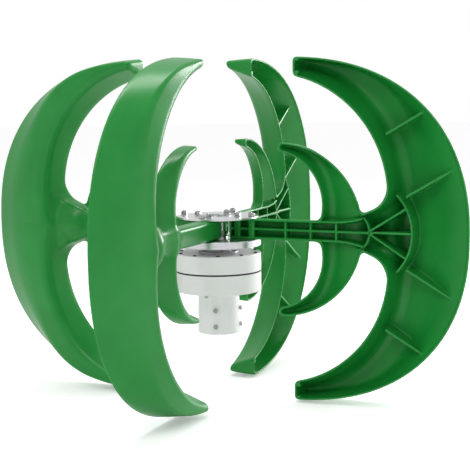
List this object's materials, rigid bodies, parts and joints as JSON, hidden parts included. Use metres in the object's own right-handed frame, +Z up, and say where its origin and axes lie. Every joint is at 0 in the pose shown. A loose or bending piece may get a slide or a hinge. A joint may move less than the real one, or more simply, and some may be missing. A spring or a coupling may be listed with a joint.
{
  "type": "vertical axis turbine",
  "caption": "Vertical axis wind turbine: curved scoop blades on a hub between two discs, turning on a round generator with a sleeve that clamps on a pole.",
  "frame": {"origin": "centre of the pole socket's mouth, on the turbine's axis", "axes": "+Z up along the shaft, from the pole to the rotor; +X along the arm of blade_1 at rest"},
  "size_m": [0.92, 0.92, 0.6044],
  "materials": {
    "blade_plastic": "moulded, semi-gloss",
    "white_coat": "fine powder coat",
    "machined_aluminium": "turned, bright",
    "fastener_steel": "zinc plated",
    "bearing_steel": "ground",
    "cage_brass": "turned",
    "lamination_steel": "stacked sheet",
    "magnet_plating": "nickel plated",
    "winding_copper": "enamelled wire",
    "black_rubber": "matt",
    "pale_rubber": "matt"
  },
  "bodies": {
    "stator": {"upper_bearing_outer": "bearing_steel", "lower_bearing_outer": "bearing_steel", "upper_housing": "white_coat", "lower_housing": "white_coat", "housing_gasket": "black_rubber", "cover_screws": "fastener_steel", "bearing_cap": "machined_aluminium", "cap_screws": "fastener_steel", "shaft_seal": "black_rubber", "stator_core": "lamination_steel", "stator_windings": "winding_copper", "pole_sleeve": "white_coat", "sleeve_screws": "fastener_steel", "sleeve_bolts": "fastener_steel", "cable_grommet": "pale_rubber"},
    "rotor": {"blade_1": "blade_plastic", "blade_2": "blade_plastic", "blade_3": "blade_plastic", "blade_4": "blade_plastic", "top_disc": "machined_aluminium", "hub_flange": "machined_aluminium", "blade_bolts": "fastener_steel", "blade_washers": "fastener_steel", "blade_nuts": "fastener_steel", "shaft": "fastener_steel", "shaft_nut": "fastener_steel", "shaft_washer": "fastener_steel", "hub_key": "fastener_steel", "core_key": "fastener_steel", "lower_spacer": "bearing_steel", "upper_spacer": "bearing_steel", "rotor_core": "lamination_steel", "rotor_magnets": "magnet_plating", "upper_bearing_inner": "bearing_steel", "lower_bearing_inner": "bearing_steel"},
    "upper_ball_ring": {"upper_bearing_balls": "bearing_steel", "upper_bearing_cage": "cage_brass"},
    "lower_ball_ring": {"lower_bearing_balls": "bearing_steel", "lower_bearing_cage": "cage_brass"}
  },
  "joints": [
    {"name": "rotor_spin", "type": "hinge", "parent": "stator", "child": "rotor", "pos_m": [0, 0, 0.19], "axis": [0, 0, 1], "continuous": true},
    {"name": "upper_ball_ring_spin", "type": "hinge", "parent": "stator", "child": "upper_ball_ring", "pos_m": [0, 0, 0.144], "axis": [0, 0, 1], "continuous": true},
    {"name": "lower_ball_ring_spin", "type": "hinge", "parent": "stator", "child": "lower_ball_ring", "pos_m": [0, 0, 0.09], "axis": [0, 0, 1], "continuous": true}
  ],
  "couplings": [
    {"joint": "upper_ball_ring_spin", "follows": "rotor_spin", "ratio": 0.4},
    {"joint": "lower_ball_ring_spin", "follows": "rotor_spin", "ratio": 0.4}
  ]
}
